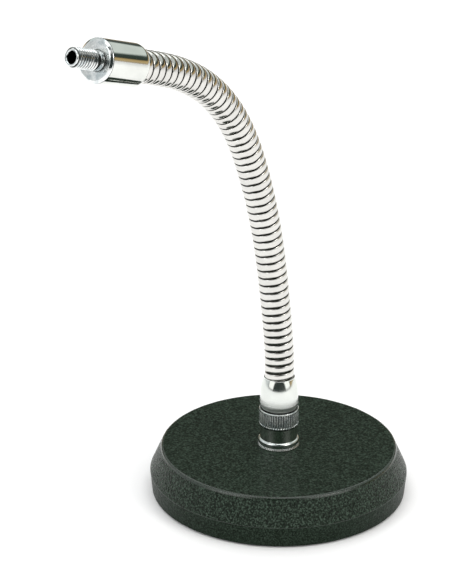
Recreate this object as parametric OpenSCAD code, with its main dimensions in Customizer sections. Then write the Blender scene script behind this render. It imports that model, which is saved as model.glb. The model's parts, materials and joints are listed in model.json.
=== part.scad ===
// Desktop microphone stand: a round cast base, a screw-in flexible gooseneck and a hollow
// threaded stud that a microphone clip screws onto.
// Millimetres, +Z up, origin at the centre of the face that rests on the table.
// The gooseneck lies in the Y-Z plane and leans towards -Y.

/* [Base] */
// Radius at the widest line, where the band meets the cone
base_r = 70; // [70:1:80]
// Radius at the bottom edge of the band
foot_r = 68.9; // [66:0.1:72]
// Radius of the flat top face
top_r = 63.1; // [58:0.1:65]
// Height of the widest line above the table
widest_z = 11.6; // [10:0.1:14]
// Height of the flat top face above the table
top_z = 26.2; // [25:0.1:30]
// Thickness of the cast top and side walls
wall = 7; // [5:0.5:8]
// Number of stiffening ribs under the top wall
ribs = 6; // [3:1:10]
// How far the pad stands below the casting
pad_proud = 0.8; // [0.5:0.1:1.5]
// Thickness of the non-slip pad
pad_t = 2; // [1.6:0.1:3]

/* [Socket stack] */
// Largest radius of the flange washer
flange_r = 11.4; // [11:0.1:14]
// Thickness of the flange washer
flange_t = 4.1; // [3:0.1:6]
// Radius of the smooth socket
socket_r = 10.4; // [10:0.1:11]
// Height of the smooth socket above the flange washer
socket_h = 7.9; // [7:0.1:12]
// Radius of the clamping shank under the socket
shank_r = 6; // [5:0.5:6]
// Radius of the knurled lock ring
ring_r = 10.65; // [10:0.05:12]
// Height of the knurled lock ring
ring_h = 9.2; // [7:0.1:12]
// Number of grooves around the lock ring
knurls = 48; // [24:1:60]
// Radius of the screw spigot under the neck ferrule
spigot_r = 7.9; // [7:0.1:8]

/* [Gooseneck] */
// Outside radius of the flexible tube
neck_r = 8; // [7:0.1:8]
// Radius of the hole through the outer winding
neck_bore_r = 6.25; // [6.2:0.05:6.4]
// Distance from one turn of the outer winding to the next
turn = 4.45; // [4.2:0.05:4.8]
// Turns of the outer winding in each rigid length
link_turns = 3; // [2:1:4]
// Number of rigid lengths that stand for the flexible tube
links = 18; // [12:1:18]
// Half the width of the groove between two turns
groove_half = 1; // [0.95:0.05:1.1]

/* [Bend at rest] */
// Lean picked up just above the ferrule, in degrees
foot_bend = 8.45; // [0:0.05:10]
// Length over which the foot leans
foot_len = 30; // [20:1:40]
// Gentle bend of the lower arm, in degrees
lower_bend = 15.25; // [0:0.05:20]
// Where the gentle bend starts and ends along the tube
lower_span = [40, 150]; // [0:1:240]
// Main bend of the upper arm, in degrees
upper_bend = 50.25; // [0:0.05:55]
// Where the main bend starts and ends along the tube
upper_span = [120, 235]; // [0:1:240]

/* [Ends] */
// Radius of both neck ferrules at their widest
ferrule_r = 10.3; // [10:0.05:11]
// Length of the upper ferrule, flange included
cap_len = 27; // [24:0.1:32]
// Thickness of the flange on the threaded stud
cap_flange = 1.4; // [1:0.1:2]
// Major radius of the 3/8 inch microphone thread
stud_r = 4.7625; // [4.7625:0.0001:5]
// Length of the stud in front of the flange
stud_len = 15.2; // [12:0.1:18]
// Radius of the hole through the stud
stud_bore_r = 2.9; // [2:0.1:3.2]

/* [Hidden] */
$fn = 96;
link_len = turn * link_turns;
neck_len = link_len * links;
eps = 0.01;
// clearance between turning parts, and between parts that sit inside each other
run = 0.05;
seat = 0.1;
// how far the plain ends of the tube reach into the ferrules
tail = 9;

// heights of the stack above the base
flange_z = top_z;
socket_z = flange_z + flange_t;
ring_z = socket_z + socket_h + 0.15;
ferrule_z = ring_z + ring_h + 0.3;
// the ferrule swells from its foot, stays upright, and curves in from here to its mouth
ferrule_swell = 3.5;
ferrule_widest = 9.1;
ferrule_h = 18.2;
ferrule_foot_r = 9.3;
ferrule_mouth_r = 8.25;
egg_steps = 24;
neck_z = ferrule_z + ferrule_h + 0.4;
// depth of the socket's threaded hole, and the height of its floor
thread_depth = 6.6;
thread_z = socket_z + socket_h - thread_depth;

// underside of the casting
ledge_r = foot_r - 4.5;
cavity_r = base_r - wall - 2;
cavity_top = top_z - wall;
boss_r = 14;
boss_z = 15;
rib_t = 5;
rib_z = 9;
// fixing hardware under the boss: radius or width across flats, thickness, height above the table
plain_washer_r = 12;
plain_washer_t = 2.5;
plain_washer_z = boss_z - plain_washer_t;
spring_washer_r = 10;
spring_washer_t = 2.4;
spring_washer_z = plain_washer_z - spring_washer_t;
spring_gap = 1.2;
nut_flats = 19;
nut_t = 6;
nut_z = spring_washer_z - nut_t;
shank_z = nut_z - 1;
// clearance of the washers' holes around the shank
washer_gap = 0.3;

function two_digits(k) = k < 10 ? str("0", k) : str(k);
function band_name(k) = str("neck_band_", two_digits(k));
function core_name(k) = str("neck_core_", two_digits(k));

// a bend that starts and stops smoothly between two places along the tube
function ease(t) = let (u = min(max(t, 0), 1)) u * u * (3 - 2 * u);
function eased(s, span) = ease((s - span[0]) / (span[1] - span[0]));
// lean from the vertical at distance s along the tube
function heading(s) = foot_bend * ease(s / foot_len)
    + lower_bend * eased(s, lower_span) + upper_bend * eased(s, upper_span);
function link_heading(k) = heading((k - 0.5) * link_len);
function along(h) = [0, -sin(h), cos(h)];
// the pivot at the top of link k, with 0 at the mouth of the lower ferrule
function pivot(k) = k == 0 ? [0, 0, neck_z] : pivot(k - 1) + link_len * along(link_heading(k));

module at_link(k) {
    translate(pivot(k - 1)) rotate([link_heading(k), 0, 0]) children();
}

module at_core(k) {
    translate(pivot(k)) rotate([(link_heading(k) + link_heading(k + 1)) / 2, 0, 0]) children();
}

module at_tip() {
    translate(pivot(links)) rotate([link_heading(links), 0, 0]) children();
}

// ---- base ----

// side of the casting: a band that widens upwards, a crease, a cone and a rounded lip
module casting_outline() {
    polygon([
        [0, pad_proud],
        [foot_r - 0.8, pad_proud],
        [foot_r, pad_proud + 0.8],
        [base_r, widest_z - 0.5],
        [base_r, widest_z + 0.3],
        [top_r + 0.9, top_z - 1.3],
        [top_r + 0.4, top_z - 0.5],
        [top_r - 0.4, top_z],
        [0, top_z]
    ]);
}

module casting_cavity() {
    difference() {
        rotate_extrude() polygon([
            [0, pad_proud],
            [cavity_r, pad_proud],
            [cavity_r, widest_z],
            [cavity_r - 5, cavity_top],
            [0, cavity_top]
        ]);
        translate([0, 0, boss_z]) cylinder(r = boss_r, h = top_z);
        for (i = [0:ribs - 1]) rotate(i * 360 / ribs)
            translate([boss_r - 2, -rib_t / 2, rib_z]) cube([base_r, rib_t, top_z]);
    }
}

module base_casting() color([0.10, 0.13, 0.11]) difference() {
    rotate_extrude() casting_outline();
    casting_cavity();
    translate([0, 0, -eps]) cylinder(r = ledge_r + 0.3, h = pad_t + seat + eps);
    cylinder(r = shank_r + seat, h = top_z + 1);
}

module base_pad() color([0.05, 0.05, 0.05]) cylinder(r = ledge_r, h = pad_t);

// ---- fixing under the base, from the boss downwards ----

module washer(r, hole_r, z, t) {
    translate([0, 0, z]) difference() {
        cylinder(r = r, h = t);
        translate([0, 0, -1]) cylinder(r = hole_r, h = t + 2);
    }
}

module shank_washer() color([0.75, 0.76, 0.78]) {
    washer(plain_washer_r, shank_r + washer_gap, plain_washer_z, plain_washer_t);
}

// a split ring, cut through on one side
module spring_washer() color([0.55, 0.56, 0.58]) difference() {
    washer(spring_washer_r, shank_r + washer_gap, spring_washer_z, spring_washer_t);
    translate([spring_washer_r, 0, spring_washer_z + spring_washer_t / 2]) rotate([25, 0, 0])
        cube([spring_washer_r, spring_gap, 3 * spring_washer_t], center = true);
}

module shank_nut() color([0.75, 0.76, 0.78]) translate([0, 0, nut_z]) difference() {
    cylinder(r = nut_flats / sqrt(3), h = nut_t, $fn = 6);
    translate([0, 0, -1]) cylinder(r = shank_r + run, h = nut_t + 2);
}

// ---- stack on top of the base ----

module flange_washer() color([0.86, 0.88, 0.88]) translate([0, 0, flange_z])
    rotate_extrude() polygon([
        [shank_r + seat, 0],
        [flange_r - 0.3, 0],
        [flange_r, 0.4],
        [flange_r, flange_t * 0.5],
        [flange_r - 0.25, flange_t * 0.7],
        [socket_r + 0.15, flange_t],
        [shank_r + seat, flange_t]
    ]);

// smooth collar, threaded inside, with the shank that clamps it to the casting
module base_socket() color([0.80, 0.82, 0.82]) difference() {
    union() {
        translate([0, 0, socket_z]) cylinder(r = socket_r, h = socket_h);
        translate([0, 0, shank_z]) cylinder(r = shank_r, h = socket_z - shank_z + 1);
    }
    translate([0, 0, thread_z]) cylinder(r = spigot_r + run, h = socket_h);
}

// jam nut with straight grooves for the fingers
module lock_ring() color([0.72, 0.74, 0.74]) difference() {
    chamfer = 0.5;
    rim = 0.9;
    groove = 0.6;
    translate([0, 0, ring_z]) rotate_extrude() polygon([
        [spigot_r + run, 0],
        [ring_r - chamfer, 0],
        [ring_r, chamfer],
        [ring_r, ring_h - chamfer],
        [ring_r - chamfer, ring_h],
        [spigot_r + run, ring_h]
    ]);
    for (i = [0:knurls - 1]) rotate(i * 360 / knurls)
        translate([ring_r + groove / 4, 0, ring_z + ring_h / 2]) rotate(45)
            cube([groove, groove, ring_h - 2 * rim], center = true);
}

// egg-shaped collar: radius at height z above its foot
function egg_r(z) = ferrule_r
    - (ferrule_r - ferrule_foot_r) * pow(max(0, 1 - z / ferrule_swell), 2.2)
    - (ferrule_r - ferrule_mouth_r)
        * pow(max(0, (z - ferrule_widest) / (ferrule_h - ferrule_widest)), 1.6);

module lower_ferrule() color([0.88, 0.90, 0.90]) difference() {
    union() {
        translate([0, 0, ferrule_z]) rotate_extrude() polygon(concat(
            [[0, 0]],
            [for (i = [0:egg_steps]) let (z = i * ferrule_h / egg_steps) [egg_r(z), z]],
            [[0, ferrule_h]]
        ));
        translate([0, 0, thread_z + 0.3]) cylinder(r = spigot_r, h = ferrule_z - thread_z);
    }
    translate([0, 0, neck_z - tail - 0.5]) cylinder(r = neck_r + seat, h = 2 * tail);
}

// ---- gooseneck ----

// Outer winding of one link: three humps with grooves between, and an open groove at each end.
// The first and the last link run on as a plain tube inside their ferrules.
module neck_band(k) {
    shoulder = 0.45;
    groove_r = neck_r - 1.05;
    first = k == 1 ? -tail : groove_half;
    last = k == links ? link_len + tail : link_len - groove_half;
    tail_r = neck_r - 0.1;
    color([0.84, 0.85, 0.84]) at_link(k) rotate_extrude() polygon(concat(
        [[neck_bore_r, first]],
        k == 1 ? [[tail_r, first], [tail_r, 0], [groove_r, 0.2]] : [],
        [for (i = [0:link_turns - 1], corner = [0:5]) let (
            low = i * turn + groove_half,
            high = (i + 1) * turn - groove_half,
            r = [groove_r, neck_r - shoulder, neck_r, neck_r, neck_r - shoulder, groove_r],
            z = [low, low, low + shoulder, high - shoulder, high, high]
        ) [r[corner], z[corner]]],
        k == links ? [[groove_r, link_len - 0.2], [tail_r, link_len], [tail_r, last]] : [],
        [[neck_bore_r, last]]
    ));
}

// Inner spring of one joint: three turns of round wire across the pivot, on a thin sleeve.
// The middle turn is part of a ball about the pivot, so that it clears both links as they tilt.
module neck_core(k) {
    sleeve_r = 4.3;
    hole_r = 3.4;
    ball_r = neck_bore_r - 0.2;
    side_r = 4.95;
    wire = 1.1;
    end = turn + wire;
    color([0.50, 0.50, 0.48]) at_core(k) rotate_extrude() polygon(concat(
        [[hole_r, -end], [sleeve_r, -end]],
        [for (a = [-75:30:75]) [sleeve_r + (side_r - sleeve_r) * cos(a), -turn + wire * sin(a)]],
        [[sleeve_r, -turn + wire + 0.1], [sleeve_r, -wire - 0.6]],
        [for (a = [-12:4:12]) ball_r * [cos(a), sin(a)]],
        [[sleeve_r, wire + 0.6], [sleeve_r, turn - wire - 0.1]],
        [for (a = [-75:30:75]) [sleeve_r + (side_r - sleeve_r) * cos(a), turn + wire * sin(a)]],
        [[sleeve_r, end], [hole_r, end]]
    ));
}

// ---- tip ----

module upper_ferrule() color([0.88, 0.90, 0.90]) at_tip() difference() {
    shoulder = 3;
    mouth_r = 8.6;
    rotate_extrude() polygon(concat(
        [[0, 0]],
        [for (a = [0:15:90]) [mouth_r + (ferrule_r - mouth_r) * sin(a), shoulder * (1 - cos(a))]],
        [[ferrule_r, cap_len - cap_flange], [0, cap_len - cap_flange]]
    ));
    translate([0, 0, -1]) cylinder(r = neck_r + seat, h = cap_len + 2);
}

// Flanged plug that closes the ferrule, with the hollow threaded stud in front of it.
// The thread is drawn as its major diameter.
module thread_stud() {
    plug = 8.6;
    rim = 1.1;
    chamfer = 0.7;
    relief = 1.2;
    tip = cap_len + stud_len;
    color([0.82, 0.84, 0.84]) at_tip() difference() {
        rotate_extrude() polygon([
            [0, cap_len - cap_flange - plug],
            [neck_r, cap_len - cap_flange - plug],
            [neck_r, cap_len - cap_flange],
            [ferrule_r, cap_len - cap_flange],
            [ferrule_r, cap_len - rim],
            [ferrule_r - rim, cap_len],
            [stud_r - 0.8, cap_len],
            [stud_r - 0.8, cap_len + relief],
            [stud_r, cap_len + relief],
            [stud_r, tip - chamfer],
            [stud_r - chamfer, tip],
            [0, tip]
        ]);
        cylinder(r = stud_bore_r, h = tip + 1);
    }
}

base_casting();
base_pad();
shank_washer();
spring_washer();
shank_nut();
flange_washer();
base_socket();
lock_ring();
lower_ferrule();
for (k = [1:links]) neck_band(k);
for (k = [1:links - 1]) neck_core(k);
upper_ferrule();
thread_stud();
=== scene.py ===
"""Desktop microphone stand: the looks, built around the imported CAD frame.

Everything is in metres in the frame's own axes: +Z up, the origin on the table under the
base, the gooseneck in the Y-Z plane leaning towards -Y.
"""
import json
import math

import bmesh
import bpy
from mathutils import Matrix, Vector, noise


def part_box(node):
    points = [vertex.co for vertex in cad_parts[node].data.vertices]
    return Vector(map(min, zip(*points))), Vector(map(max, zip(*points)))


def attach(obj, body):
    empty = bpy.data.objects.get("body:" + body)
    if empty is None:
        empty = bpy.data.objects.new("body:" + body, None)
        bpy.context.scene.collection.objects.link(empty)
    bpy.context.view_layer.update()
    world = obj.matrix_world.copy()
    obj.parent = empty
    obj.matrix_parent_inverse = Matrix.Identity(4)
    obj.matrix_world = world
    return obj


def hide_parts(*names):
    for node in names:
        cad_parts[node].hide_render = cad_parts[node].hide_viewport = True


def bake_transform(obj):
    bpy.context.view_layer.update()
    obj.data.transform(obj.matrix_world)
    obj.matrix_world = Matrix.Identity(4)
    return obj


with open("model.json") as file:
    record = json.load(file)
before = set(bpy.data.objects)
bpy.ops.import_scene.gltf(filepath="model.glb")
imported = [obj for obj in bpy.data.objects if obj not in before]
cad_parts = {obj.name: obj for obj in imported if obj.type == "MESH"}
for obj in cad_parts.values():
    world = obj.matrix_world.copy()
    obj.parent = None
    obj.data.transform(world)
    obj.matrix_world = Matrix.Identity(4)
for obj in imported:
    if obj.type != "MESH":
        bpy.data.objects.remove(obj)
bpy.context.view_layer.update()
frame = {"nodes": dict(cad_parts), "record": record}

MM = 0.001
record = frame["record"]
joints = {j["name"]: j for j in record["behaviour"]["joints"]}
mounts = {m["name"]: m for m in record["mounts"]}

# ---------------------------------------------------------------- camera
# the photograph looks down on the stand from the front right, with a long lens
CAMERA_TURN = 39.7      # degrees to the left of looking along +Y
CAMERA_DIP = 21.48      # degrees below level
camera_data = bpy.data.cameras.new("camera")
camera_data.sensor_fit = "AUTO"
camera_data.sensor_width = 36.0
camera_data.lens = 111.0
camera_data.clip_start = 0.05
camera_data.clip_end = 50.0
camera = bpy.data.objects.new("camera", camera_data)
camera.location = (0.5411, -0.6965, 0.4611)
camera.rotation_euler = (math.radians(90 - CAMERA_DIP), 0.0, math.radians(CAMERA_TURN))
bpy.context.scene.collection.objects.link(camera)
bpy.context.scene.camera = camera


# ---------------------------------------------------------------- node helpers
def new_material(name):
    material = bpy.data.materials.new(name)
    material.use_nodes = True
    tree = material.node_tree
    return material, tree, tree.nodes["Principled BSDF"]


def add(tree, kind, **settings):
    """A node of that kind, with its attributes and its inputs' values set by name."""
    made = tree.nodes.new(kind)
    for key, value in settings.items():
        if hasattr(made, key):
            setattr(made, key, value)
        else:
            made.inputs[key.replace("_", " ")].default_value = value
    return made


def wire(tree, start, end):
    tree.links.new(start, end)


def ramp(tree, factor, stops):
    """A colour ramp through (position, grey or colour) stops."""
    made = tree.nodes.new("ShaderNodeValToRGB")
    elements = made.color_ramp.elements
    while len(elements) < len(stops):
        elements.new(0.5)
    for element, (at, tone) in zip(elements, stops):
        element.position = at
        element.color = (*tone, 1.0) if isinstance(tone, tuple) else (tone, tone, tone, 1.0)
    wire(tree, factor, made.inputs["Fac"])
    return made.outputs["Color"]


def object_position(tree):
    return tree.nodes.new("ShaderNodeTexCoord").outputs["Object"]


def noise_of(tree, at, scale, detail=4.0, roughness=0.55):
    made = add(tree, "ShaderNodeTexNoise", Scale=scale, Detail=detail, Roughness=roughness)
    wire(tree, at, made.inputs["Vector"])
    return made.outputs["Fac"]


def bump_from(tree, shader, height, strength, distance):
    made = add(tree, "ShaderNodeBump", Strength=strength, Distance=distance)
    wire(tree, height, made.inputs["Height"])
    wire(tree, made.outputs["Normal"], shader.inputs["Normal"])


# ---------------------------------------------------------------- materials
SATIN_ROUGHNESS = 0.30                  # added where polished plating turns dull
CUT_SHADE_COLOUR = (0.03, 0.03, 0.027)        # painted shade: the dark that chrome shows in a thread or between ribs
# the wrinkle paint's tones: a painted shade, a middle tone and a painted highlight
PAINT_HOLLOW_SHADE = (0.001, 0.004, 0.001)
PAINT_SLOPE = (0.008, 0.016, 0.009)
PAINT_RIDGE_HIGHLIGHT = (0.026, 0.040, 0.029)


def polished_metal(name, colour, low, high, grain=2600.0, dent=0.00003, satin=None):
    """Bright plating: roughness that varies with faint smears, and a very fine polishing grain.
    Satin is the height where the finish is dull and the height where it is polished again."""
    material, tree, shader = new_material(name)
    at = object_position(tree)
    smears = noise_of(tree, at, 90.0, 5.0)
    shader.inputs["Metallic"].default_value = 1.0
    roughness = ramp(tree, smears, [(0.35, low), (0.7, high)])
    if satin:
        split = add(tree, "ShaderNodeSeparateXYZ")
        wire(tree, at, split.inputs[0])
        dull_below, bright_above = satin
        fade = add(tree, "ShaderNodeMapRange", interpolation_type="SMOOTHSTEP",
                   From_Min=bright_above, From_Max=dull_below, To_Max=SATIN_ROUGHNESS)
        wire(tree, split.outputs["Z"], fade.inputs["Value"])
        both = add(tree, "ShaderNodeMath", operation="ADD")
        wire(tree, roughness, both.inputs[0])
        wire(tree, fade.outputs["Result"], both.inputs[1])
        roughness = both.outputs[0]
    wire(tree, roughness, shader.inputs["Roughness"])
    darker = tuple(0.88 * c for c in colour)
    wire(tree, ramp(tree, smears, [(0.3, darker), (0.65, colour)]), shader.inputs["Base Color"])
    bump_from(tree, shader, noise_of(tree, at, grain, 2.0), 0.12, dent)
    return material


def wrinkle_paint(name, cell, depth, low, high, gloss, highlight_lift=1.0):
    """Dark green-black wrinkle paint: folded cells, with shinier ridges than hollows, and patches of
    colour with painted shade in the dark ones and painted highlight in the light ones. Cell is how many
    there are to the metre, and lift brightens the light patches of painted highlight."""
    material, tree, shader = new_material(name)
    at = object_position(tree)
    warp = add(tree, "ShaderNodeTexNoise", Scale=cell * 0.6, Detail=3.0)
    wire(tree, at, warp.inputs["Vector"])
    shifted = add(tree, "ShaderNodeVectorMath", operation="MULTIPLY_ADD")
    wire(tree, warp.outputs["Color"], shifted.inputs[0])
    shifted.inputs[1].default_value = (1.6 / cell,) * 3
    wire(tree, at, shifted.inputs[2])
    cells = add(tree, "ShaderNodeTexVoronoi", feature="SMOOTH_F1", Scale=cell, Smoothness=0.5)
    wire(tree, shifted.outputs["Vector"], cells.inputs["Vector"])
    fine = noise_of(tree, at, cell * 2.3, 3.0, 0.6)
    mixed = add(tree, "ShaderNodeMix", data_type="FLOAT")
    mixed.inputs[0].default_value = 0.4
    wire(tree, cells.outputs["Distance"], mixed.inputs[2])
    wire(tree, fine, mixed.inputs[3])
    height = mixed.outputs[0]
    wire(tree, ramp(tree, height, [(0.25, high), (0.6, low)]), shader.inputs["Roughness"])
    # painted shade and painted highlight: dark and light patches of colour on a noise of their own, not
    # on the folds
    tint = ramp(tree, noise_of(tree, at, cell * 1.5, 2.0, 0.6), [
        (0.36, PAINT_HOLLOW_SHADE), (0.5, PAINT_SLOPE), (0.64, tuple(highlight_lift * c for c in PAINT_RIDGE_HIGHLIGHT))])
    wire(tree, tint, shader.inputs["Base Color"])
    shader.inputs["Specular IOR Level"].default_value = gloss
    bump_from(tree, shader, height, 1.0, depth)
    return material


def turned_metal(name, colour, low=0.10):
    """Bright plating over fine turning marks, with painted shade where the surface is cut in: it reads
    the distance from the piece's own axis and the depth of the cut that the mesh carries, which sets how
    dark the painted shade is."""
    material, tree, shader = new_material(name)
    at = object_position(tree)
    shader.inputs["Metallic"].default_value = 1.0
    depth = add(tree, "ShaderNodeAttribute", attribute_name="depth").outputs["Fac"]
    tones = add(tree, "ShaderNodeMix", data_type="RGBA", blend_type="MULTIPLY")
    tones.inputs[0].default_value = 1.0
    # painted shade: the deeper the cut, the darker the plating's colour
    wire(tree, ramp(tree, depth, [(0.22, colour), (0.75, CUT_SHADE_COLOUR)]), tones.inputs[6])
    clouds = noise_of(tree, at, 260.0, 3.0)
    wire(tree, ramp(tree, clouds, [(0.38, (0.66, 0.70, 0.72)), (0.58, (1.0, 1.0, 1.0))]), tones.inputs[7])
    wire(tree, tones.outputs[2], shader.inputs["Base Color"])
    wire(tree, ramp(tree, depth, [(0.2, low), (0.85, 0.5)]), shader.inputs["Roughness"])
    radius = add(tree, "ShaderNodeAttribute", attribute_name="radius").outputs["Fac"]
    marks = add(tree, "ShaderNodeTexNoise", noise_dimensions="1D", Scale=1.0, Detail=3.0)
    wire(tree, radius, marks.inputs["W"])
    smears = noise_of(tree, at, 500.0, 3.0)
    both = add(tree, "ShaderNodeMath", operation="MULTIPLY_ADD")
    wire(tree, smears, both.inputs[0])
    both.inputs[1].default_value = 0.6
    wire(tree, marks.outputs["Fac"], both.inputs[2])
    bump_from(tree, shader, both.outputs[0], 0.35, 0.00006)
    return material


ring_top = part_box("lock_ring")[1].z
satin_height = 0.009
# a metal's colour, lowest and highest roughness, and the scale of its grain
chrome = polished_metal("chrome", (0.79, 0.805, 0.77), 0.04, 0.10)
chrome_egg = polished_metal("chrome_ferrule", (0.76, 0.785, 0.75), 0.07, 0.14, 1500.0,
                            satin=(ring_top, ring_top + satin_height))
winding_chrome = polished_metal("chrome_winding", (0.73, 0.72, 0.69), 0.09, 0.20, 1400.0)
spring_steel = polished_metal("spring_steel", (0.04, 0.038, 0.034), 0.55, 0.7, 900.0)
zinc = polished_metal("zinc", (0.55, 0.57, 0.60), 0.3, 0.45, 700.0, 0.00008)
# a paint's cells, depth of the folds in metres, lowest and highest roughness, gloss, and lift, the
# brightening of its painted highlight patches, greatest on the cone's side
paint_top = wrinkle_paint("wrinkle_paint_top", 700.0, 0.00035, 0.38, 0.60, 0.08, 1.35)
paint_side = wrinkle_paint("wrinkle_paint_side", 700.0, 0.00110, 0.24, 0.44, 0.14, 1.75)
paint_band = wrinkle_paint("wrinkle_paint_band", 850.0, 0.00022, 0.34, 0.55, 0.08)
paint_edge = wrinkle_paint("wrinkle_paint_edge", 900.0, 0.00010, 0.18, 0.30, 0.65)


def rubber():
    material, tree, shader = new_material("pad_rubber")
    at = object_position(tree)
    grain = noise_of(tree, at, 1400.0, 5.0, 0.7)
    wire(tree, ramp(tree, grain, [(0.3, 0.75), (0.7, 0.95)]), shader.inputs["Roughness"])
    wire(tree, ramp(tree, grain, [(0.3, 0.012), (0.7, 0.03)]), shader.inputs["Base Color"])
    bump_from(tree, shader, grain, 0.8, 0.0002)
    return material


pad_rubber = rubber()
chrome_turned = turned_metal("chrome_turned", (0.92, 0.93, 0.92))
chrome_ring = turned_metal("chrome_knurled", (0.74, 0.77, 0.75), 0.26)
chrome_edge = turned_metal("chrome_serrated", (0.86, 0.88, 0.86), 0.10)


# ---------------------------------------------------------------- mesh helpers
def r_of(v):
    return math.hypot(v.x, v.y)


def shown(mesh, smooth_below):
    """The mesh as an object, shaded smooth but for edges where faces meet at more than an angle."""
    mesh.polygons.foreach_set("use_smooth", [True] * len(mesh.polygons))
    mesh.set_sharp_from_angle(angle=math.radians(smooth_below))
    made = bpy.data.objects.new(mesh.name, mesh)
    bpy.context.scene.collection.objects.link(made)
    return made


def piece(name, vertices, faces, materials, smooth_below=35.0, face_materials=None):
    """A mesh object in metres, with the index of a material for each face if there are several."""
    mesh = bpy.data.meshes.new(name)
    mesh.from_pydata([tuple(v) for v in vertices], [], faces)
    for material in materials:
        mesh.materials.append(material)
    if face_materials:
        for polygon, index in zip(mesh.polygons, face_materials):
            polygon.material_index = index
    mesh.validate()
    return shown(mesh, smooth_below)


def rounded(corners, step=12.0):
    """An outline through (r, z, fillet radius) corners in millimetres, each fillet as a short arc.
    At an exactly square corner, rounding error decides which way the arc turns."""
    out = []
    count = len(corners)
    for i, (r, z, radius) in enumerate(corners):
        here = Vector((r, z))
        if radius <= 0:
            out.append(here)
            continue
        before = (Vector(corners[i - 1][:2]) - here).normalized()
        after = (Vector(corners[(i + 1) % count][:2]) - here).normalized()
        half = before.angle(after) / 2
        reach = radius / math.tan(half)
        centre = here + (before + after).normalized() * radius / math.sin(half)
        start = here + before * reach - centre
        turn = math.pi - 2 * half
        sign = 1.0 if start.x * after.y - start.y * after.x > 0 else -1.0
        steps = max(2, math.ceil(math.degrees(turn) / step))
        for k in range(steps + 1):
            angle = sign * turn * k / steps
            out.append(centre + Matrix.Rotation(angle, 2) @ start)
    return [(p.x, p.y) for p in out]


def split_long(outline, longest):
    """The outline with points added so that no step is longer than that."""
    out = []
    for (r0, z0), (r1, z1) in zip(outline, outline[1:] + outline[:1]):
        parts = max(1, math.ceil(math.hypot(r1 - r0, z1 - z0) / longest))
        out += [(r0 + (r1 - r0) * k / parts, z0 + (z1 - z0) * k / parts) for k in range(parts)]
    return out


def lathe(outline, segments, radius_at=None):
    """(vertices, faces) of a closed outline of (r, z) turned about Z, in millimetres. A point on
    the axis stays one vertex, and radius_at may change the others' radius round the turn."""
    vertices, faces, rings = [], [], []
    for r, z in outline:
        if r < 1e-6:
            rings.append([len(vertices)] * segments)
            vertices.append(Vector((0, 0, z)))
            continue
        rings.append(range(len(vertices), len(vertices) + segments))
        for k in range(segments):
            angle = 2 * math.pi * k / segments
            radius = radius_at(r, z, angle) if radius_at else r
            vertices.append(Vector((radius * math.cos(angle), radius * math.sin(angle), z)))
    for low, high in zip(rings, list(rings[1:]) + rings[:1]):
        for k in range(segments):
            n = (k + 1) % segments
            corners = list(dict.fromkeys((low[k], low[n], high[n], high[k])))
            if len(corners) > 2:
                faces.append(corners)
    return vertices, faces


def placed(vertices, matrix=Matrix.Identity(4)):
    """Millimetres in a piece's own axes to metres in the frame."""
    return [matrix @ (v * MM) for v in vertices]


def frame_at(origin, direction):
    """Axes at a point on the gooseneck's plane, with local Z along a direction and local X kept."""
    z = Vector(direction).normalized()
    x = Vector((1, 0, 0))
    y = z.cross(x)
    return Matrix.Translation(origin) @ Matrix((x, y, z)).transposed().to_4x4()


# ---------------------------------------------------------------- places from the frame
LINKS = sum(1 for n in frame["nodes"] if n.startswith("neck_band_"))
bends = sorted((j for j in joints.values() if j["child"].startswith("core_")), key=lambda j: j["child"])
pivots = [Vector(j["pos_m"]) for j in bends]
link_len = (pivots[1] - pivots[0]).length
tip_axis = Vector(mounts["mic_stud"]["axis"]).normalized()
mouth_z = pivots[0].z - math.sqrt(link_len ** 2 - pivots[0].y ** 2)
pivots = [Vector((0, 0, mouth_z))] + pivots + [pivots[-1] + link_len * tip_axis]
middles = [(a + b) / 2 for a, b in zip(pivots, pivots[1:])]
neck_r = 8.0            # the gooseneck's outer radius, in millimetres
seat_r = 8.06           # the ferrules' bore round it


def on_curve(s):
    """A point of the gooseneck's smooth centre line and its direction there, s links from the
    ferrule's mouth. The line runs from the middle of one link to the middle of the next, as a
    parabola that touches both, and straight on at the two ends."""
    k = min(max(math.floor(s + 0.5), 0), LINKS)
    t = s + 0.5 - k
    if k == 0:
        heading = (pivots[1] - pivots[0]).normalized()
        return middles[0] + (s - 0.5) * link_len * heading, heading
    if k == LINKS:
        heading = (pivots[LINKS] - pivots[LINKS - 1]).normalized()
        return middles[-1] + (s - LINKS + 0.5) * link_len * heading, heading
    a, b, c = middles[k - 1], pivots[k], middles[k]
    point = (1 - t) ** 2 * a + 2 * t * (1 - t) * b + t * t * c
    heading = ((1 - t) * (b - a) + t * (c - b)).normalized()
    return point, heading


def bent(v):
    """A point of the straight tube, in millimetres with Z along it, to its place in the frame."""
    point, heading = on_curve(v.z * MM / link_len)
    side = heading.cross(Vector((1, 0, 0)))
    return point + MM * (v.x * Vector((1, 0, 0)) + v.y * side)


# ---------------------------------------------------------------- gooseneck
TURN = link_len / MM / 3        # three turns of wire to a link, in millimetres
STEPS = 64                      # points round a turn


def helix_strip(section, start, end, phase):
    """A closed strip of a section of (r, z) corners wound to the right, from start to end in mm."""
    first = math.floor((start - phase) / TURN * STEPS) - STEPS // 2
    last = math.ceil((end - phase) / TURN * STEPS) + STEPS // 2
    bm = bmesh.new()
    rings = []
    for i in range(first, last + 1):
        angle = 2 * math.pi * i / STEPS
        rise = phase + TURN * i / STEPS
        rings.append([bm.verts.new((r * math.cos(angle), r * math.sin(angle), rise + z))
                      for r, z in section])
    count = len(section)
    for low, high in zip(rings, rings[1:]):
        for k in range(count):
            bm.faces.new((low[k], low[(k + 1) % count], high[(k + 1) % count], high[k]))
    bm.faces.new(rings[0][::-1])
    bm.faces.new(rings[-1])
    return bm


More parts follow.
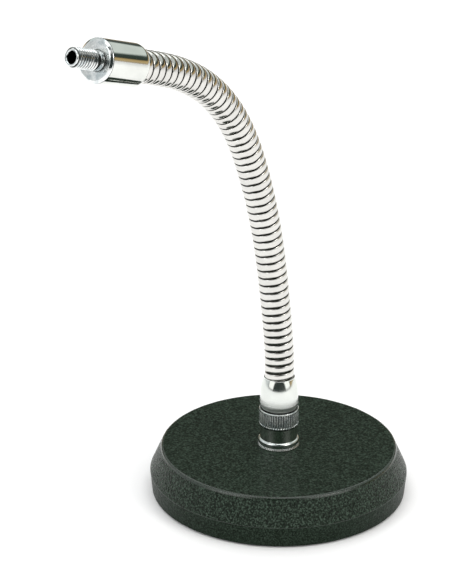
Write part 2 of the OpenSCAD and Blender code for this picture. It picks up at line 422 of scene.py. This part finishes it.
def cut(bm, z, keep_above):
    """Cuts the strip square across and fills the cut, though some ends keep a gap."""
    parts = bm.verts[:] + bm.edges[:] + bm.faces[:]
    made = bmesh.ops.bisect_plane(bm, geom=parts, plane_co=(0, 0, z), plane_no=(0, 0, 1),
                                  clear_inner=keep_above, clear_outer=not keep_above)
    edges = [e for e in made["geom_cut"] if isinstance(e, bmesh.types.BMEdge)]
    if edges:
        bmesh.ops.triangle_fill(bm, edges=edges, use_beauty=True)


def wound_piece(name, section, start, end, phase, material):
    bm = helix_strip(section, start, end, phase)
    cut(bm, start, True)
    cut(bm, end, False)
    bmesh.ops.recalc_face_normals(bm, faces=bm.faces[:])
    for v in bm.verts:
        v.co = bent(v.co)
    mesh = bpy.data.meshes.new(name)
    bm.to_mesh(mesh)
    bm.free()
    mesh.materials.append(material)
    return shown(mesh, 38.0)


def band_section():
    """The wedge-shaped wire: a slightly crowned face outside, rounded edges, sides that lean in."""
    half = 1.84
    lean, thickness = 0.35, 1.5
    edge_drop, edge_fillet = 0.30, 0.22
    crown_drop, crown_half = 0.22, 1.62
    corners = [(neck_r - thickness, -half + lean, 0), (neck_r - edge_drop, -half, edge_fillet)]
    corners += [(neck_r - crown_drop * abs(t) ** 2.6, crown_half * t, 0)
                for t in (-0.95, -0.7, -0.35, 0, 0.35, 0.7, 0.95)]
    corners += [(neck_r - edge_drop, half, edge_fillet), (neck_r - thickness, half - lean, 0)]
    return rounded(corners, 30.0)


def wire_section(radius, centre_r, steps=10):
    return [(centre_r + radius * math.cos(2 * math.pi * k / steps),
             radius * math.sin(2 * math.pi * k / steps)) for k in range(steps)]


def gooseneck():
    """Both wires, cut into half links: the lowest half rides on the arm's foot, the highest on the tip,
    and the others stay in place.
    """
    spring_section = wire_section(1.15, neck_r - 2.15)
    sections = {
        "winding": (band_section(), 0.0, winding_chrome, "neck_chrome", "neck_band"),
        "spring": (spring_section, TURN / 2, spring_steel, "neck_spring", "neck_core"),
    }
    hidden = 8.0            # how far the wires run on inside each ferrule
    whole = link_len / MM
    for kind, (section, phase, material, slot, node) in sections.items():
        for half in range(2 * LINKS):
            # half 0 is the lower half of link 1, half 1 its upper half, and so on
            low, high = half / 2, (half + 1) / 2
            start = -hidden if half == 0 else low * whole
            end = LINKS * whole + hidden if half == 2 * LINKS - 1 else high * whole
            made = wound_piece(f"{kind}_{half + 1:02d}", section, start, end, phase + TURN / 2, material)
            joint = (half + 1) // 2     # the pivot at this half's upper or lower end
            link = half // 2 + 1
            stands_for = link if node == "neck_band" else min(max(joint, 1), LINKS - 1)
            if half == 0:
                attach(made, "arm_foot")
            elif half == 2 * LINKS - 1:
                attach(made, "tip")
            elif half % 2:
                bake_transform(made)
            else:
                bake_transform(made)
            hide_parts(f"{node}_{stands_for:02d}")


gooseneck()


# ---------------------------------------------------------------- base
shank_hole = 6.1        # the radius of the hole that the socket's shank goes through


def uneven(v):
    """The casting's small unevenness, along the point's own direction from the middle."""
    reach, scale = 0.05, 0.22
    return v + v.normalized() * noise.fractal(v * scale, 0.8, 2.0, 3) * reach


def base_casting():
    """A flat top, a cone, an upright band, and underneath a recess for the pad, a hollow and a
    boss round the hole."""
    low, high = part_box("base_casting")
    widest = high.x / MM
    bottom, top = low.z / MM, high.z / MM
    pad_r, pad_seat = widest - 5.2, bottom + 1.3
    hollow_r, hollow_roof = widest - 9.0, top - 7.0
    boss_r, boss_foot = 14.0, top - 11.2
    corners = [
        (shank_hole, top, 0.2),
        (widest - 7.35, top, 0.2),
        (widest - 7.0, top - 0.12, 0.1),
        (widest - 6.35, top - 0.45, 0.5),
        (widest - 0.05, bottom + 11.1, 0.45),
        (widest - 1.05, bottom, 0.6),
        (pad_r, bottom, 0.3),
        (pad_r, pad_seat, 0.1),
        (hollow_r, pad_seat, 0.3),
        (hollow_r, bottom + 10.8, 2.0),
        (widest - 14.0, hollow_roof, 2.5),
        (boss_r, hollow_roof, 1.5),
        (boss_r, boss_foot, 0.5),
        (shank_hole, boss_foot, 0.2),
    ]
    vertices, faces = lathe(split_long(rounded(corners, 15.0), 0.9), 400)
    top_paint, side_paint, band_paint, edge_paint = range(4)

    def paint_at(face):
        middle = sum((vertices[i] for i in face), Vector()) / len(face)
        r, z = r_of(middle), middle.z
        top_edge = r > widest - 7.2 and z > top - 1.15
        band_edge = r > widest - 0.9 and bottom + 10.75 < z < bottom + 11.4
        if top_edge or band_edge:
            return edge_paint
        if z > top - 0.35:
            return top_paint
        return side_paint if r > widest - 6.6 and z > bottom + 11.3 else band_paint

    paints = [paint_at(face) for face in faces]
    # the hole and the boss are machined true, and the rest is as cast
    vertices = [v if r_of(v) < 20 and v.z < top - 1 else uneven(v) for v in vertices]
    made = piece("casting", placed(vertices), faces, [paint_top, paint_side, paint_band, paint_edge],
                 50.0, paints)
    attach(made, "base")
    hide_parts("base_casting")


def base_pad():
    low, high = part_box("base_pad")
    r, top = high.x / MM, high.z / MM
    outline = split_long(rounded([(0, 0, 0), (r, 0, 0.5), (r, top, 0.3), (0, top, 0)]), 3.0)
    vertices, faces = lathe(outline, 256)
    made = piece("pad", placed(vertices), faces, [pad_rubber], 40.0)
    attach(made, "base")
    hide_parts("base_pad")


base_casting()
base_pad()
for node in ("shank_washer", "spring_washer", "shank_nut"):
    frame["nodes"][node].data.materials.clear()
    frame["nodes"][node].data.materials.append(zinc)


# ---------------------------------------------------------------- socket stack
spigot_hole = 7.95      # the radius of the hole for the ferrule's spigot


def turned(name, corners, material, body, node, matrix=Matrix.Identity(4), segments=160,
           radius_at=None, longest=None, smooth_below=35.0):
    """A lathe-turned piece from filleted corners, riding on a body in place of its CAD node."""
    outline = rounded(corners)
    if longest:
        outline = split_long(outline, longest)
    vertices, faces = lathe(outline, segments, radius_at)
    made = piece(name, placed(vertices, matrix), faces, [material], smooth_below)
    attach(made, body)
    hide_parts(node)
    return made


def carry(made, name, values):
    """A number at each point of the mesh, which turned_metal reads."""
    made.data.attributes.new(name, "FLOAT", "POINT").data.foreach_set("value", values)


def across_tooth(count, angle):
    """How far round a tooth an angle is: 0 in its middle and 1 at either side."""
    return abs((count * angle / (2 * math.pi)) % 1 - 0.5) * 2


def flange_washer():
    """A thick washer whose lower edge is serrated, with painted shade in the gaps between the teeth."""
    low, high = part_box("flange_washer")
    r, z0, z1 = high.x / MM, low.z / MM, high.z / MM
    teeth, cut_depth, edge = 64, 0.32, 0.5

    def serrated(radius, z, angle):
        if radius <= r - edge or z >= z0 + 1.25:
            return radius
        return radius - cut_depth * max(0.0, across_tooth(teeth, angle) - 0.45) / 0.55

    # painted shade in the gaps between the teeth, darkest where the cut is deepest
    def shade_at(radius, z):
        if radius <= r - edge or z >= z0 + 0.9:
            return 0.0
        return min(1.0, max(0.0, r - 0.03 - radius) / cut_depth)

    made = turned("flange_washer_visual", [
        (shank_hole, z0, 0.1), (r - 0.05, z0, 0.05), (r, z0 + 0.3, 0.05), (r - 0.42, z0 + 1.2, 0.05),
        (r - 0.42, z1 - 0.5, 1.0), (10.3, z1, 0.2), (shank_hole, z1, 0.1)],
        chrome_edge, "base", "flange_washer",
        segments=teeth * 8, radius_at=serrated, longest=0.6)
    carry(made, "depth", [shade_at(r_of(v.co) / MM, v.co.z / MM) for v in made.data.vertices])
    carry(made, "radius", [0.0] * len(made.data.vertices))


def base_socket():
    """A smooth collar on the washer, open at the top, on a shank that goes down through it."""
    low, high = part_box("base_socket")
    r, z0, z1 = high.x / MM, low.z / MM, high.z / MM
    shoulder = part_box("flange_washer")[1].z / MM
    shank_r, floor = 6.0, z1 - 6.6
    turned("socket", [
        (0, z0, 0), (shank_r, z0, 0.5), (shank_r, shoulder, 0), (r, shoulder, 0.15), (r, z1, 0.3),
        (spigot_hole, z1, 0.25), (spigot_hole, floor, 0.1), (0, floor, 0)],
        chrome, "base", "base_socket")


def lock_ring():
    """A knurled ring with a plain rim at each end, and painted shade in the gaps between the ribs and on
    its end faces.
    """
    low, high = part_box("lock_ring")
    r, z0, z1 = high.x / MM, low.z / MM, high.z / MM
    ribs, cut_depth, bevel = 48, 0.45, 0.2
    rim = 0.6 * MM

    def knurled(radius, z, angle):
        inside = min(1.0, max(0.0, (min(z - z0, z1 - z) - 0.65) / 0.3))
        if radius < r - 0.1 or not inside:
            return radius
        across = across_tooth(ribs, angle)
        return radius - inside * (cut_depth * max(0.0, across - 0.5) / 0.5 + 0.05 * across)

    # painted shade: darkest where the gaps between the ribs are deepest, and 0.7 on both end faces, which
    # also makes them duller
    def shade_at(point):
        radius = r_of(point) / MM
        if low.z + rim < point.z < high.z - rim:
            return min(1.0, max(0.0, r - 0.06 - radius) / cut_depth)
        return 0.7 if radius < r - 0.45 else 0.0

    made = turned("knurled_ring", [
        (spigot_hole, z0, 0.2), (r - bevel, z0, 0.05), (r, z0 + bevel, 0.05),
        (r, z1 - bevel, 0.05), (r - bevel, z1, 0.05), (spigot_hole, z1, 0.2)],
        chrome_ring, "lock_ring", "lock_ring",
        segments=ribs * 12, radius_at=knurled, longest=0.45, smooth_below=24.0)
    carry(made, "depth", [shade_at(v.co) for v in made.data.vertices])
    carry(made, "radius", [0.0] * len(made.data.vertices))


def egg_ferrule():
    """An upright barrel that swells from its foot and curves in to a thin lip at the mouth."""
    low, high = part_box("lower_ferrule")
    r, spigot, mouth = high.x / MM, low.z / MM, high.z / MM
    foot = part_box("lock_ring")[1].z / MM + 0.3
    height = mouth - foot
    spigot_r, seat = 7.9, mouth - 9.0
    foot_r, mouth_r = 9.3, 8.25
    swell, widest = 3.5, 9.1        # heights where the barrel reaches full width and starts to close

    def egg(z):
        return (r - (r - foot_r) * max(0.0, 1 - z / swell) ** 2.2
                - (r - mouth_r) * max(0.0, (z - widest) / (height - widest)) ** 1.6)

    wall = [(0, spigot, 0), (spigot_r, spigot, 0.4), (spigot_r, foot, 0), (foot_r, foot, 0.15)]
    wall += [(egg(z), foot + z, 0) for z in [0.4 * k for k in range(1, 45)] if z < height - 0.5]
    wall += [(mouth_r + 0.08, mouth - 0.35, 0), (mouth_r + 0.05, mouth, 0.1), (seat_r, mouth, 0.03),
             (seat_r, seat, 0.1), (0, seat, 0)]
    turned("egg_ferrule", wall, chrome_egg, "arm_foot", "lower_ferrule",
           smooth_below=30.0, longest=0.6)


flange_washer()
base_socket()
lock_ring()
egg_ferrule()


# ---------------------------------------------------------------- tip
tip_frame = frame_at(pivots[-1], tip_axis)
stud = mounts["mic_stud"]
bore = mounts["stud_bore"]
# heights along the tip, in millimetres from the gooseneck's end
stud_end = (Vector(bore["pos_m"]) - pivots[-1]).dot(tip_axis) / MM + bore["dims"]["length_mm"] / 2
flange_face = stud_end - 15.2
flange_back = flange_face - 1.4
ferrule_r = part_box("upper_ferrule")[1].x / MM


def upper_ferrule():
    """A plain tube with a rounded rear shoulder."""
    rear_r, shoulder = 8.6, 3
    wall = [(seat_r, 0, 0.1), (rear_r, 0, 0.12)]
    for degrees in range(10, 90, 8):
        a = math.radians(degrees)
        wall.append((rear_r + (ferrule_r - rear_r) * math.sin(a), shoulder * (1 - math.cos(a)), 0))
    wall += [(ferrule_r, shoulder, 0), (ferrule_r, flange_back, 0.15), (seat_r, flange_back, 0.1)]
    turned("upper_ferrule_visual", wall, chrome, "tip", "upper_ferrule", tip_frame,
           smooth_below=30.0)


def thread_stud():
    """A flange on a plug, and a hollow stud with a real helical thread of 16 turns to the inch."""
    major, hole = stud["dims"]["r_mm"], bore["dims"]["r_mm"]
    pitch, depth = 25.4 / 16, 0.86
    root = major - depth
    plug_r, plug_end = 8.0, flange_face - 10.0
    thread_start = flange_face + 1.0
    outline = rounded([
        (hole, plug_end, 0.2), (plug_r, plug_end, 0.3), (plug_r, flange_back, 0),
        (ferrule_r, flange_back, 0.1), (ferrule_r, flange_face - 0.95, 0.35),
        (ferrule_r - 1.25, flange_face, 0.5), (5.5, flange_face - 0.35, 0.2),
        (root, flange_face - 0.7, 0.2), (root, stud_end - 0.35, 0.2),
        (root - 0.25, stud_end, 0.15), (hole + 0.25, stud_end, 0.1), (hole, stud_end - 0.3, 0.1)])
    vertices, faces = lathe(split_long(outline, 0.5), 144)

    def shade_at(v):
        """Painted shade under the thread, and a little painted shade round the stud's foot."""
        if thread_start - 0.4 < v.z < stud_end - 0.5:
            return 1.0
        return 0.25 if v.z > flange_face - 0.55 and root + 0.05 < r_of(v) < 5.4 else 0.0

    shade_depths = [shade_at(v) for v in vertices]
    steps = 72
    # the ridge's section: height above the root in millimetres, and place in turns
    profile = [(-0.15, -0.50), (0.0, -0.455), (depth - 0.08, -0.115), (depth, -0.06),
               (depth, 0.06), (depth - 0.08, 0.115), (0.0, 0.455), (-0.15, 0.50)]
    turns = (stud_end - 0.55 - thread_start) / pitch
    rings = []
    for i in range(round(turns * steps) + 1):
        u = i / steps
        angle = 2 * math.pi * u
        fade = max(0.03, min(1.0, u / 0.3, (turns - u) / 0.3))
        ring = []
        for rise, dz in profile:
            z = thread_start + pitch * (u + dz)
            radius = root + (rise * fade if rise > 0 else rise)
            radius = min(radius, major - max(0.0, z - (stud_end - 0.95)))
            ring.append(len(vertices))
            vertices.append(Vector((radius * math.cos(angle), radius * math.sin(angle), z)))
            # painted shade, darker towards the thread's root
            shade_depths.append(1.0 - max(0.0, radius - root) / depth)
        rings.append(ring)
    count = len(profile)
    for low, high in zip(rings, rings[1:]):
        faces += [(low[k], low[(k + 1) % count], high[(k + 1) % count], high[k]) for k in range(count)]
    faces += [rings[0][::-1], rings[-1]]
    made = piece("threaded_stud", placed(vertices, tip_frame), faces, [chrome_turned], 30.0)
    carry(made, "depth", shade_depths)
    carry(made, "radius", [6 * r_of(v) for v in vertices])
    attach(made, "tip")
    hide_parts("thread_stud")


upper_ferrule()
thread_stud()


# ---------------------------------------------------------------- stage and light
def stage_plane(name, size, z, colour, roughness):
    material, tree, shader = new_material(name)
    shader.inputs["Base Color"].default_value = (*colour, 1.0)
    shader.inputs["Roughness"].default_value = roughness
    half = size / 2
    made = piece(name, [(-half, -half, z), (half, -half, z), (half, half, z), (-half, half, z)],
                 [(0, 1, 2, 3)], [material])


stage_plane("floor", 9.0, 0.0, (0.92, 0.92, 0.92), 0.9)


def softbox(name, place, target, width, height, power, colour=(1, 1, 1)):
    """A rectangular light at a place, aimed at a target, with its power in watts."""
    data = bpy.data.lights.new(name, "AREA")
    data.shape = "RECTANGLE"
    data.size, data.size_y = width, height
    data.energy = power
    data.color = colour
    made = bpy.data.objects.new(name, data)
    made.location = place
    aim = Vector(target) - Vector(place)
    made.rotation_euler = aim.to_track_quat("-Z", "Y").to_euler()
    bpy.context.scene.collection.objects.link(made)


# level directions as the camera sees them: to its right, and towards it
RIGHT = Vector((math.cos(math.radians(CAMERA_TURN)), math.sin(math.radians(CAMERA_TURN)), 0))
NEAR = Vector((RIGHT.y, -RIGHT.x, 0))


def studio():
    """Soft light from above and from both sides. Positions are to the camera's right, towards it,
    and up."""
    def at(r, n, up):
        return RIGHT * r + NEAR * n + Vector((0, 0, up))

    middle = (0, 0, 0.1)
    softbox("top", at(0.0, 0.1, 1.8), middle, 1.4, 1.1, 6.5)
    softbox("backdrop", at(0.0, -1.3, 1.6), at(0.0, -1.1, 0.0), 2.2, 0.8, 7)
    softbox("key", at(1.0, 0.75, 1.0), middle, 0.5, 0.5, 5.0, (1.0, 0.98, 0.94))
    softbox("fill", at(-1.0, 0.75, 0.9), middle, 0.4, 0.4, 2.5, (0.94, 0.98, 1.0))


studio()


def studio_world():
    """The room that the chrome mirrors: pale walls with a warm strip along the horizon, a dark
    front with a bright window on each side of it, and a cool bright left. What the camera sees of
    it is plain and pale."""
    world = bpy.data.worlds.new("studio")
    world.use_nodes = True
    tree = world.node_tree
    background = tree.nodes["Background"]
    at = tree.nodes.new("ShaderNodeTexCoord").outputs["Generated"]

    def dot(direction):
        made = add(tree, "ShaderNodeVectorMath", operation="DOT_PRODUCT")
        wire(tree, at, made.inputs[0])
        made.inputs[1].default_value = direction
        return made.outputs["Value"]

    def math_of(operation, *values):
        made = add(tree, "ShaderNodeMath", operation=operation)
        for value, socket in zip(values, made.inputs):
            if isinstance(value, (int, float)):
                socket.default_value = value
            else:
                wire(tree, value, socket)
        return made.outputs[0]

    def between(value, low, high, soft):
        """1 between two values and 0 outside them, with soft edges."""
        def edge(start, end):
            made = add(tree, "ShaderNodeMapRange", interpolation_type="SMOOTHSTEP")
            wire(tree, value, made.inputs["Value"])
            made.inputs["From Min"].default_value = start
            made.inputs["From Max"].default_value = end
            return made.outputs["Result"]
        return math_of("MULTIPLY", edge(low - soft, low + soft), edge(high + soft, high - soft))

    def mix(factor, low, high):
        made = add(tree, "ShaderNodeMix", data_type="RGBA")
        wire(tree, factor, made.inputs[0])
        for value, socket in ((low, made.inputs[6]), (high, made.inputs[7])):
            if isinstance(value, tuple):
                socket.default_value = (*value, 1.0)
            else:
                wire(tree, value, socket)
        return made.outputs[2]

    # height is -1 to 1, and turn is in radians to the right of the way to the camera
    height = dot((0, 0, 1))
    turn = math_of("ARCTAN2", dot(RIGHT), dot(NEAR))
    aside = math_of("ABSOLUTE", turn)
    no_low, no_high = -1.0, 9.0     # for a range that is open at one end
    bright_left, window = (0.76, 0.79, 0.80), (1.3, 1.3, 1.27)
    dark_front, dark_back = (0.035, 0.045, 0.04), (0.10, 0.11, 0.10)
    diffuse_light, backdrop = (0.92, 0.92, 0.92), (0.97, 0.97, 0.97)
    room = ramp(tree, math_of("MULTIPLY_ADD", height, 0.5, 0.5), [
        (0.42, (0.60, 0.58, 0.52)), (0.49, (0.44, 0.37, 0.27)), (0.51, (0.56, 0.42, 0.22)),
        (0.552, (0.50, 0.36, 0.16)), (0.575, (0.04, 0.05, 0.04)), (0.645, (0.05, 0.07, 0.06)),
        (0.675, (0.74, 0.80, 0.76)), (0.80, (0.66, 0.70, 0.68)), (1.0, (0.50, 0.52, 0.51))])
    room = mix(between(turn, -2.2, -1.0, 0.25), room, bright_left)
    in_front = between(aside, no_low, 1.3, 0.2)
    room = mix(math_of("MULTIPLY", in_front, between(height, no_low, 0.9, 0.06)), room, dark_front)
    # the windows' inner edges lean towards each other as they rise
    inner = between(math_of("MULTIPLY_ADD", height, 0.75, aside), 0.76, no_high, 0.05)
    outer = between(aside, no_low, 1.25, 0.05)
    in_window = math_of("MULTIPLY", math_of("MULTIPLY", inner, outer), between(height, 0.02, 0.82, 0.02))
    room = mix(in_window, room, window)
    behind = between(aside, 2.95, no_high, 0.12)
    room = mix(math_of("MULTIPLY", behind, between(height, 0.05, 0.6, 0.1)), room, dark_back)
    path = tree.nodes.new("ShaderNodeLightPath").outputs
    room = mix(path["Is Diffuse Ray"], room, diffuse_light)
    wire(tree, mix(path["Is Camera Ray"], room, backdrop), background.inputs["Color"])
    bpy.context.scene.world = world


studio_world()
bpy.context.scene.view_settings.view_transform = "Standard"
